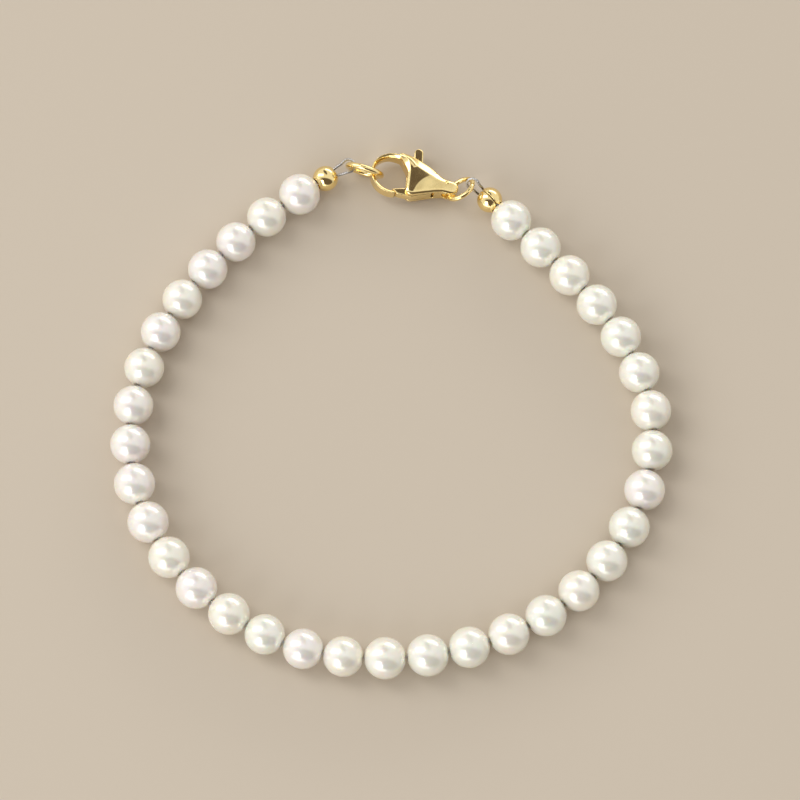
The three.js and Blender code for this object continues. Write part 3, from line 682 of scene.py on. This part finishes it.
def cast_skin(shape, low, high, cell):
    # The closed skin of a shape: one point in each small cell that its surface passes through, drawn onto
    # the surface, with a face round each edge between cells that crosses it.
    low = np.array(low, float)
    counts = [int(math.ceil((top - bottom) / cell)) + 1 for bottom, top in zip(low, high)]
    lines = [bottom + cell * np.arange(count) for bottom, count in zip(low, counts)]
    solid = shape(*np.meshgrid(*lines, indexing="ij", sparse=True)) < 0
    nx, ny, nz = counts
    ends = [
        solid[i : nx - 1 + i, j : ny - 1 + j, k : nz - 1 + k]
        for i in (0, 1) for j in (0, 1) for k in (0, 1)
    ]
    mixed = np.logical_or.reduce(ends) & ~np.logical_and.reduce(ends)
    number = np.full(mixed.shape, -1)
    number[mixed] = np.arange(np.count_nonzero(mixed))
    points = low + cell * (np.argwhere(mixed) + 0.5)
    faces = []
    for axis in range(3):
        start = np.take(solid, range(counts[axis] - 1), axis)
        spots = np.argwhere(start != np.take(solid, range(1, counts[axis]), axis))
        across = np.eye(3, dtype=int)[(axis + 1) % 3]
        up = np.eye(3, dtype=int)[(axis + 2) % 3]
        around = (spots - across - up, spots - up, spots, spots - across)
        quads = np.stack([number[tuple(spot.T)] for spot in around], 1)
        outward = start[tuple(spots.T)]
        quads[~outward] = quads[~outward][:, ::-1]
        faces.append(quads)
    faces = np.concatenate(faces)
    nudge = cell / 8
    for eased, times in ((True, 1), (True, 1), (False, 2)):
        if eased:
            total = np.zeros_like(points)
            tally = np.zeros(len(points))
            for corner in range(4):
                for other in (1, 3):
                    np.add.at(total, faces[:, corner], points[faces[:, (corner + other) % 4]])
                    np.add.at(tally, faces[:, corner], 1)
            points = 0.4 * points + 0.6 * total / tally[:, None]
        for _ in range(times):
            value = shape(*points.T)
            rises = [shape(*(points + step).T) - value for step in nudge * np.eye(3)]
            slope = np.stack(rises, 1) / nudge
            move = value[:, None] * slope / np.maximum((slope**2).sum(1), 0.05)[:, None]
            points = points - np.clip(move, -cell, cell)
    return points, faces


def polish_group():
    colours = {"Metal": (1.0, 0.80, 0.38, 1), "Deep Metal": (0.96, 0.70, 0.28, 1)}
    amounts = {"Gloss": 0.07, "Haze": 0.17, "Grain Size": 2400.0}
    group, given, result = surface_group("polish", colours, amounts)
    link = group.links.new
    place = group.nodes.new("ShaderNodeTexCoord")
    cloud = group.nodes.new("ShaderNodeTexNoise")
    cloud.inputs["Scale"].default_value = 900.0
    cloud.inputs["Detail"].default_value = 4.0
    link(place.outputs["Object"], cloud.inputs["Vector"])
    dull = group.nodes.new("ShaderNodeMapRange")
    dull.inputs["From Min"].default_value = 0.35
    dull.inputs["From Max"].default_value = 0.75
    link(cloud.outputs["Fac"], dull.inputs["Value"])
    link(given.outputs["Gloss"], dull.inputs["To Min"])
    link(given.outputs["Haze"], dull.inputs["To Max"])
    link(dull.outputs["Result"], result.inputs["Roughness"])
    shade = group.nodes.new("ShaderNodeMapRange")
    shade.inputs["From Min"].default_value = 0.45
    shade.inputs["From Max"].default_value = 0.8
    shade.inputs["To Max"].default_value = 0.6
    link(cloud.outputs["Fac"], shade.inputs["Value"])
    metal = group.nodes.new("ShaderNodeMix")
    metal.data_type = "RGBA"
    link(shade.outputs["Result"], metal.inputs["Factor"])
    link(given.outputs["Metal"], metal.inputs["A"])
    link(given.outputs["Deep Metal"], metal.inputs["B"])
    link(metal.outputs["Result"], result.inputs["Colour"])
    pits = group.nodes.new("ShaderNodeTexVoronoi")
    link(place.outputs["Object"], pits.inputs["Vector"])
    link(given.outputs["Grain Size"], pits.inputs["Scale"])
    pit = group.nodes.new("ShaderNodeMapRange")
    pit.inputs["From Max"].default_value = 0.10
    link(pits.outputs["Distance"], pit.inputs["Value"])
    ripple = group.nodes.new("ShaderNodeTexNoise")
    ripple.inputs["Scale"].default_value = 650.0
    ripple.inputs["Detail"].default_value = 1.0
    link(place.outputs["Object"], ripple.inputs["Vector"])
    height = group.nodes.new("ShaderNodeMath")
    height.operation = "MULTIPLY_ADD"
    height.inputs[1].default_value = 1.5
    link(ripple.outputs["Fac"], height.inputs[0])
    link(pit.outputs["Result"], height.inputs[2])
    link(height.outputs["Value"], result.inputs["Height"])
    return group


polish = polish_group()


def gold_material(name, haze, relief_depth):
    material, finish, shader = grouped_material(name, polish, 0.3, relief_depth)
    finish.inputs["Haze"].default_value = haze
    shader.inputs["Metallic"].default_value = 1.0
    return material


def gold_piece(name, points, faces, material, node, body):
    piece = shaped_piece(name, points, faces)
    piece.data.materials.append(material)
    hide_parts(node)
    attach(piece, body)
    return piece


cast_gold = gold_material("cast_gold", 0.18, 0.000006)
points, faces = cast_skin(clasp_shape, (-3.0, -3.1, -1.5), (8.1, 2.8, 1.5), CASTING_CELL)
gold_piece("clasp_casting", in_room(points), faces, cast_gold, "clasp_body", "bracelet")


# Lever.
# The clasp's gate, cast in one with the thumb tab that stands out above the body, and polished with it. It
# turns on the rivet inside the channel, and a hidden spring presses its gate against the hook's tip.
LEVER_PLAY = 0.1
GATE_GAP = 0.08
RIVET_HOLE = 0.38
TAB_TOP = 3.675
TAB_WIDTH = 1.06
TAB_LEAN = 0.16
LEVER_SOFTNESS = 0.14


def tab_x(y):
    return 0.9 * PIVOT[0] - TAB_LEAN * (y - BODY_TOP / 2)


def lever_outline():
    boss = 0.36 * PIVOT[0]
    rear_x = CHANNEL_END - 2 * LEVER_PLAY
    rear_y = 0.76 * (TAIL_MIDDLE - TAIL_WIDTH / 2) + 0.24 * BODY_BOTTOM
    rear_foot = (rear_x - 0.25, 0.88 * rear_y + 0.12 * GATE_OUTSIDE)
    half = TAB_WIDTH / 2
    neck_y = PIVOT[1] + 1.3 * boss
    outline = [
        (tip_line(GATE_INSIDE) + GATE_GAP, GATE_INSIDE),
        (tip_line(GATE_OUTSIDE) + GATE_GAP, GATE_OUTSIDE),
        (BODY_HEEL, GATE_OUTSIDE),
    ]
    outline += bent(rear_foot, (rear_x, rear_y), (rear_x, rear_y + 0.35), 8)
    left, right = PIVOT[0] - boss, PIVOT[0] + boss
    outline += bent((right, PIVOT[1] - 0.3 * boss), (right, neck_y), (tab_x(neck_y) + half, neck_y), 8)
    tab_end = TAB_TOP - half
    for angle in np.linspace(0, math.pi, 13):
        outline.append((tab_x(tab_end) + half * math.cos(angle), tab_end + half * math.sin(angle)))
    outline += bent((tab_x(neck_y) - half, neck_y), (left, PIVOT[1] + boss), (left, PIVOT[1]), 8)
    outline += bent((1.12 * BODY_FRONT, -1.25), (1.1 * BODY_FRONT, -1.5), (0.9 * BODY_FRONT, -1.5), 5)
    return softened([(x, y, 0) for x, y in outline], 0.1, 1)


LEVER = lever_outline()


def lever_shape(x, y, z):
    edge, _ = from_outline(x, y, LEVER)
    shape = soft_max(np.abs(z) - (THICKNESS / 2 - CHEEK - LEVER_PLAY), edge, LEVER_SOFTNESS)
    hole = np.hypot(x - PIVOT[0], y - PIVOT[1]) - RIVET_HOLE
    return soft_max(shape, -hole, 0.05)


points, faces = cast_skin(lever_shape, (-0.2, -2.6, -0.75), (5.3, 3.9, 0.75), CASTING_CELL)
gold_piece("lever_casting", in_room(points), faces, cast_gold, "clasp_lever", "lever")


# Rivet.
# A plain turned pin with eased ends, pressed into blind holes in the two cheeks. It carries the lever.
RIVET_RADIUS = 0.3
RIVET_HALF = 1.09
RIVET_EASE = 0.06

rivet_profile = [
    (0.001, -RIVET_HALF),
    (RIVET_RADIUS - RIVET_EASE, -RIVET_HALF),
    (RIVET_RADIUS - 0.3 * RIVET_EASE, -RIVET_HALF + 0.3 * RIVET_EASE),
    (RIVET_RADIUS, -RIVET_HALF + RIVET_EASE),
    (RIVET_RADIUS, RIVET_HALF - RIVET_EASE),
    (RIVET_RADIUS - 0.3 * RIVET_EASE, RIVET_HALF - 0.3 * RIVET_EASE),
    (RIVET_RADIUS - RIVET_EASE, RIVET_HALF),
    (0.001, RIVET_HALF),
]
points, faces = spun(rivet_profile, 32)
gold_piece("rivet_pin", in_room(PIVOT + np.array(points)), faces, cast_gold, "lever_rivet", "bracelet")


# Gold rings.
# Two round rings of drawn gold wire, each closed until its ends meet in a fine butt joint. The hook's ring
# is the thick one and stands on its edge; the tail's is thinner and hangs in the tail's hole.
RING_STEPS = 120
RING_SIDES = 28
JOINT_HALF = 0.02
HOOK_RING = {"diameter": 4.6, "wire": 0.7, "joint": 200}
TAIL_RING = {"diameter": 3.75, "wire": 0.54, "joint": 75}

drawn_gold = gold_material("drawn_gold", 0.13, 0.000004)


def ring_lie(node):
    # A ring's middle and axis, from the points of its solid.
    points = np.array([vertex.co for vertex in frame["nodes"][node].data.vertices])
    points = np.unique(np.round(points, 7), axis=0)
    middle = points.mean(0)
    return middle, np.linalg.svd(points - middle)[2][2]


def jump_ring(node, sizes):
    middle, axis = ring_lie(node)
    wire_radius = 0.99 * sizes["wire"] / 2
    ring_radius = (sizes["diameter"] - sizes["wire"]) / 2
    lay = Vector(axis).to_track_quat("Z", "Y").to_matrix()
    turns = [(2 * math.pi * step / RING_STEPS, 1.0) for step in range(RING_STEPS)]
    for offset, share in ((-2.5, 1.0), (-1.0, 0.985), (0.0, 0.93), (1.0, 0.985), (2.5, 1.0)):
        turn = math.radians(sizes["joint"]) + offset * JOINT_HALF / ring_radius
        turns.append((turn, share))
    points = []
    for turn, share in sorted(turns):
        for side in range(RING_SIDES):
            angle = -2 * math.pi * side / RING_SIDES
            reach = wire_radius * share
            spread = ring_radius + reach * math.cos(angle)
            spot = Vector((spread * math.cos(turn), spread * math.sin(turn), reach * math.sin(angle)))
            points.append(Vector(middle) + MM * (lay @ spot))
    faces = tube_faces(len(turns), RING_SIDES)
    gold_piece(node + "_wire", points, faces, drawn_gold, node, "bracelet")
    return middle / MM, axis


hook_ring_middle, hook_ring_axis = jump_ring("hook_ring", HOOK_RING)
tail_ring_middle, tail_ring_axis = jump_ring("tail_ring", TAIL_RING)


# Crimp covers.
# Two hollow gold balls, pressed shut round the crimps. Each is open at both ends, with rolled lips, and has
# the tapering seam where its two jaws meet, which widens towards the pearl.
COVER_RADIUS = 1.45
COVER_WALL = 0.25
COVER_MOUTH = 0.7
COVER_HEIGHT = 2.0
COVER_CELL = 0.05
COVER_REACH = 1.55
SEAM_NARROW = 0.05
SEAM_WIDE = 0.17

pressed_gold = gold_material("pressed_gold", 0.16, 0.000005)


def cover_shape(x, y, z):
    far = np.sqrt(x**2 + y**2 + z**2)
    shell = soft_max(far - COVER_RADIUS, COVER_RADIUS - COVER_WALL - far, 0.06)
    shell = soft_max(shell, COVER_MOUTH - np.hypot(x, z), 0.14)
    seam_half = (SEAM_WIDE + (SEAM_NARROW - SEAM_WIDE) * (y / COVER_RADIUS + 1) / 2) / 2
    return soft_max(shell, -np.maximum(np.abs(x) - seam_half, -z), 0.09)


cover_lies = {}
for side_name, neighbour, seam_turn in (("left", 0, 190), ("right", len(pearls) - 1, 0)):
    node = "crimp_cover_" + side_name
    middle = np.array(middle_of(node)) / MM
    middle[2] = COVER_HEIGHT
    out = middle - np.array(pearl_middles[neighbour]) / MM
    out /= np.linalg.norm(out)
    across = np.cross(out, (0, 0, 1))
    across /= np.linalg.norm(across)
    up = np.cross(across, out)
    turn = math.radians(seam_turn)
    seam_across = across * math.cos(turn) - up * math.sin(turn)
    seam_up = across * math.sin(turn) + up * math.cos(turn)
    cover_lies[side_name] = (middle, out)
    points, faces = cast_skin(cover_shape, (-COVER_REACH,) * 3, (COVER_REACH,) * 3, COVER_CELL)
    points = MM * (middle + points @ np.array((seam_across, out, seam_up)))
    gold_piece(node + "_shell", points, faces, pressed_gold, node, "bracelet")


# Crimp tubes.
# Two short soft-metal tubes inside the covers, each squeezed on the two strands of wire that lie side by
# side in it.
CRIMP_HALF = 0.85
CRIMP_INNER = 0.45
CRIMP_OUTER = 0.59
CRIMP_EASE = 0.04

crimp_profile = [
    (CRIMP_INNER, CRIMP_HALF - CRIMP_EASE),
    (CRIMP_INNER, 0),
    (CRIMP_INNER, CRIMP_EASE - CRIMP_HALF),
    (CRIMP_INNER + CRIMP_EASE, -CRIMP_HALF),
    (CRIMP_OUTER - CRIMP_EASE, -CRIMP_HALF),
    (CRIMP_OUTER, CRIMP_EASE - CRIMP_HALF),
    (CRIMP_OUTER - CRIMP_EASE, 0),
    (CRIMP_OUTER, CRIMP_HALF - CRIMP_EASE),
    (CRIMP_OUTER - CRIMP_EASE, CRIMP_HALF),
    (CRIMP_INNER + CRIMP_EASE, CRIMP_HALF),
]
for side_name, (middle, out) in cover_lies.items():
    lay = Vector(out).to_track_quat("Z", "Y").to_matrix()
    points, faces = spun(crimp_profile, 32)
    points = [MM * (Vector(middle) + lay @ point) for point in points]
    gold_piece("crimp_" + side_name, points, faces, pressed_gold, "crimp_tube_" + side_name, "bracelet")


# Beading wire.
# One thin cable of grey steel strands twisted together, through all the pearls. At each end it goes through
# the cover, round the ring and back into the crimp.
WIRE_RADIUS = 0.15
STRAND_OFFSET = 0.2
LOOP_PLAY = 0.25
WIRE_SIDES = 18
STRAND_GROOVE = 0.84
TWIST_PITCH = 1.6
WIRE_STEP = 0.14
HIDDEN_IN_PEARL = 1.5
HOOK_RING_HEADING = math.radians(-17)
TAIL_RING_HOLD = math.radians(24)


def ring_hold(middle, along, axis, sizes, turn):
    # Where the wire loop holds a ring: the middle of the ring's wire, and the way that it runs there.
    along = along - axis * np.dot(along, axis)
    along /= np.linalg.norm(along)
    turned = math.cos(turn) * along + math.sin(turn) * np.cross(axis, along)
    return middle + (sizes["diameter"] - sizes["wire"]) / 2 * turned, np.cross(axis, turned)


def loop_points(cover, out, hold, ring_way, ring_wire):
    reach = hold - cover
    distance = np.linalg.norm(reach)
    away = reach / distance
    side = np.cross(away, ring_way)
    side /= np.linalg.norm(side)
    cover_side = side - out * np.dot(side, out)
    cover_side /= np.linalg.norm(cover_side)
    clear = ring_wire / 2 + WIRE_RADIUS + LOOP_PLAY

    def strand(sign):
        return [
            cover - (CRIMP_HALF + 0.1) * out + sign * STRAND_OFFSET * cover_side,
            cover + CRIMP_HALF * out + sign * STRAND_OFFSET * cover_side,
            cover + 0.9 * COVER_RADIUS * out + sign * (COVER_MOUTH - 2 * WIRE_RADIUS) * cover_side,
            cover + 0.55 * (distance + COVER_RADIUS) * away + sign * 0.8 * clear * side,
        ]

    turns = np.radians((-90, -45, 0, 45, 90))
    bend = [hold + clear * (math.cos(turn) * away + math.sin(turn) * side) for turn in turns]
    return strand(-1) + bend + strand(1)[::-1]


def even_path(points, spacing):
    # A smooth curve through the points, at even steps.
    points = np.array(points)
    padded = np.concatenate((2 * points[:1] - points[1:2], points, 2 * points[-1:] - points[-2:-1]))
    dense = []
    for index in range(len(points) - 1):
        a, b, c, d = padded[index : index + 4]
        t1 = np.sqrt(np.linalg.norm(b - a))
        t2 = t1 + np.sqrt(np.linalg.norm(c - b))
        t3 = t2 + np.sqrt(np.linalg.norm(d - c))
        for t in np.linspace(t1, t2, 24, endpoint=False):
            ab = a + t / t1 * (b - a)
            bc = b + (t - t1) / (t2 - t1) * (c - b)
            cd = c + (t - t2) / (t3 - t2) * (d - c)
            abc = ab + t / t2 * (bc - ab)
            bcd = bc + (t - t1) / (t3 - t1) * (cd - bc)
            dense.append(abc + (t - t1) / (t2 - t1) * (bcd - abc))
    dense = np.array(dense + [points[-1]])
    travelled = np.concatenate(((0,), np.cumsum(np.linalg.norm(np.diff(dense, axis=0), axis=1))))
    stations = np.linspace(0, travelled[-1], int(travelled[-1] / spacing) + 1)
    return stations, np.stack([np.interp(stations, travelled, column) for column in dense.T], 1)


hook_axis = -hook_ring_axis * np.sign(hook_ring_axis[1])
hook_way = np.array((math.cos(HOOK_RING_HEADING), math.sin(HOOK_RING_HEADING), 0))
left_hold, left_ring_way = ring_hold(hook_ring_middle, hook_way, hook_axis, HOOK_RING, math.pi)
tail_axis = tail_ring_axis * np.sign(tail_ring_axis[2])
tail_way = np.array(clasp_along + clasp_through)
right_hold, right_ring_way = ring_hold(tail_ring_middle, tail_way, tail_axis, TAIL_RING, TAIL_RING_HOLD)
wire_points = loop_points(*cover_lies["left"], left_hold, left_ring_way, HOOK_RING["wire"])
wire_points += [np.array(point) / MM for point in pearl_middles]
wire_points += loop_points(*cover_lies["right"], right_hold, right_ring_way, TAIL_RING["wire"])

stations, path = even_path(wire_points, WIRE_STEP)
ways = np.gradient(path, axis=0)
ways /= np.linalg.norm(ways, axis=1)[:, None]
pearl_places = np.array(pearl_middles) / MM
cable_side = np.cross(ways[0], (0, 0, 1))
cable_points = []
for index, (station, point, way) in enumerate(zip(stations, path, ways)):
    cable_side = cable_side - way * np.dot(cable_side, way)
    cable_side /= np.linalg.norm(cable_side)
    # Deep inside a pearl, one row in eight is enough.
    hidden = np.linalg.norm(pearl_places - point, axis=1).min() < HIDDEN_IN_PEARL
    if hidden and index % 8:
        continue
    cable_up = np.cross(way, cable_side)
    for side in range(WIRE_SIDES):
        turn = 2 * math.pi * (side / WIRE_SIDES + station / TWIST_PITCH)
        reach = WIRE_RADIUS * (1 if side % 3 else STRAND_GROOVE)
        outwards = math.cos(turn) * cable_side + math.sin(turn) * cable_up
        cable_points.append(MM * (point + reach * outwards))
cable_faces = tube_faces(len(cable_points) // WIRE_SIDES, WIRE_SIDES, closed=False)
cable_faces.append(tuple(reversed(range(WIRE_SIDES))))
cable_faces.append(tuple(range(len(cable_points) - WIRE_SIDES, len(cable_points))))
cable = shaped_piece("beading_cable", cable_points, cable_faces)

cable_steel, cable_tree, cable_shader = new_material("cable_steel")
cable_place = cable_tree.nodes.new("ShaderNodeTexCoord")
cable_wear = cable_tree.nodes.new("ShaderNodeTexNoise")
cable_wear.inputs["Scale"].default_value = 3000.0
cable_tree.links.new(cable_place.outputs["Object"], cable_wear.inputs["Vector"])
cable_colour = cable_tree.nodes.new("ShaderNodeMix")
cable_colour.data_type = "RGBA"
cable_colour.inputs["A"].default_value = (0.42, 0.40, 0.38, 1)
cable_colour.inputs["B"].default_value = (0.62, 0.61, 0.60, 1)
cable_tree.links.new(cable_wear.outputs["Fac"], cable_colour.inputs["Factor"])
cable_tree.links.new(cable_colour.outputs["Result"], cable_shader.inputs["Base Color"])
cable_shader.inputs["Metallic"].default_value = 1.0
cable_shader.inputs["Roughness"].default_value = 0.32
cable.data.materials.append(cable_steel)
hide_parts("beading_wire")
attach(cable, "bracelet")
